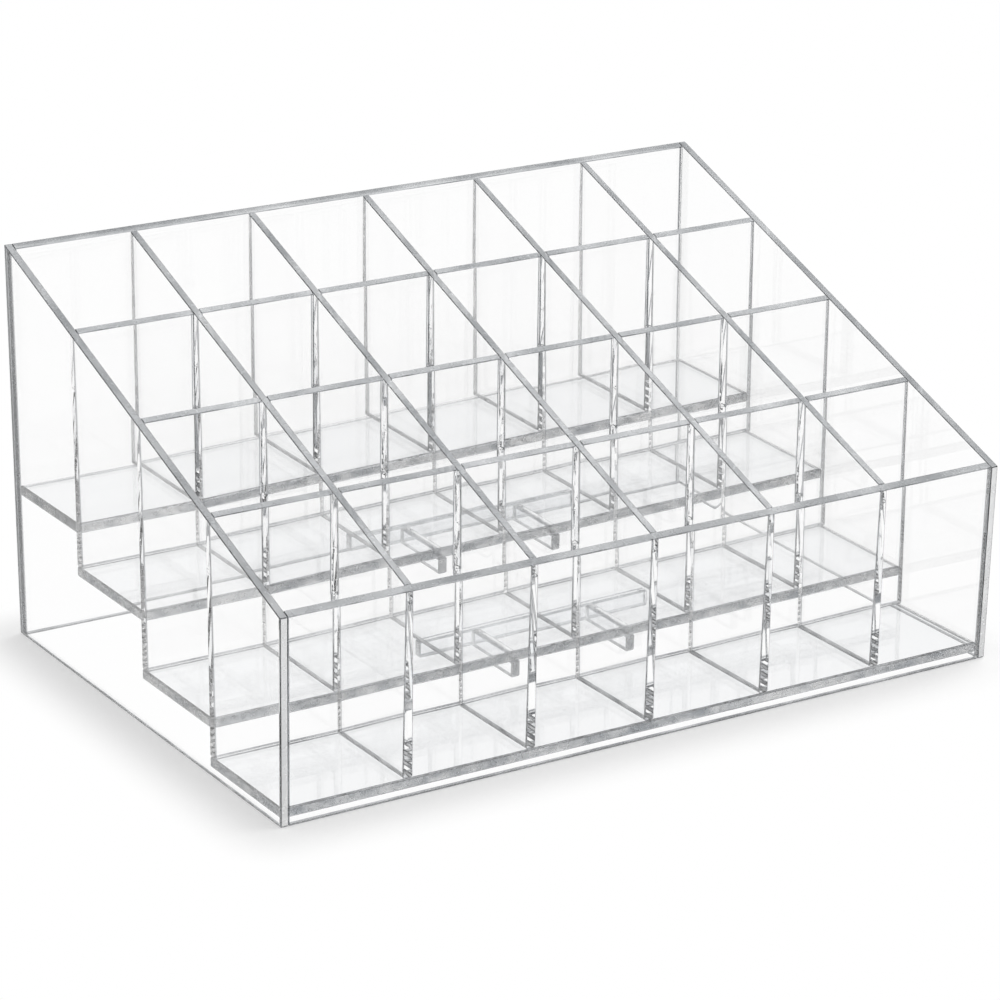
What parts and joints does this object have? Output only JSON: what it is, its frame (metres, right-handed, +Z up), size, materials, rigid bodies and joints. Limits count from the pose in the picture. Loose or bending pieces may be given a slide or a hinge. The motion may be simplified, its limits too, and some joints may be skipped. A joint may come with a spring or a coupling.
{
  "type": "vanity organizer",
  "caption": "Stepped clear acrylic tray with a sloping rim, split by crossing dividers into upright cells for lipsticks, polish and brushes.",
  "frame": {"origin": "middle of the footprint, on the surface that the organizer stands on", "axes": "+X to the right seen from the front, +Y towards the tall back, +Z up"},
  "size_m": [0.228, 0.158, 0.116],
  "materials": {
    "panel_acrylic": "clear polished acrylic sheet",
    "divider_acrylic": "clear polished acrylic with satin edges",
    "tier_wall_acrylic": "clear polished acrylic with satin edges",
    "floor_acrylic": "clear polished acrylic, faintly blue"
  },
  "bodies": {
    "root": {"left_side_panel": "panel_acrylic", "right_side_panel": "panel_acrylic", "front_panel": "panel_acrylic", "back_panel": "panel_acrylic", "divider_1": "divider_acrylic", "divider_2": "divider_acrylic", "divider_3": "divider_acrylic", "divider_4": "divider_acrylic", "divider_5": "divider_acrylic", "tier_wall_1": "tier_wall_acrylic", "tier_wall_2": "tier_wall_acrylic", "tier_wall_3": "tier_wall_acrylic", "tier_floor_1": "floor_acrylic", "tier_floor_2": "floor_acrylic", "tier_floor_3": "floor_acrylic", "tier_floor_4": "floor_acrylic", "floor_rib_1": "floor_acrylic", "floor_rib_2": "floor_acrylic", "floor_rib_3": "floor_acrylic", "floor_rib_4": "floor_acrylic", "floor_cross_rib_1": "floor_acrylic", "floor_cross_rib_2": "floor_acrylic"}
  },
  "joints": []
}
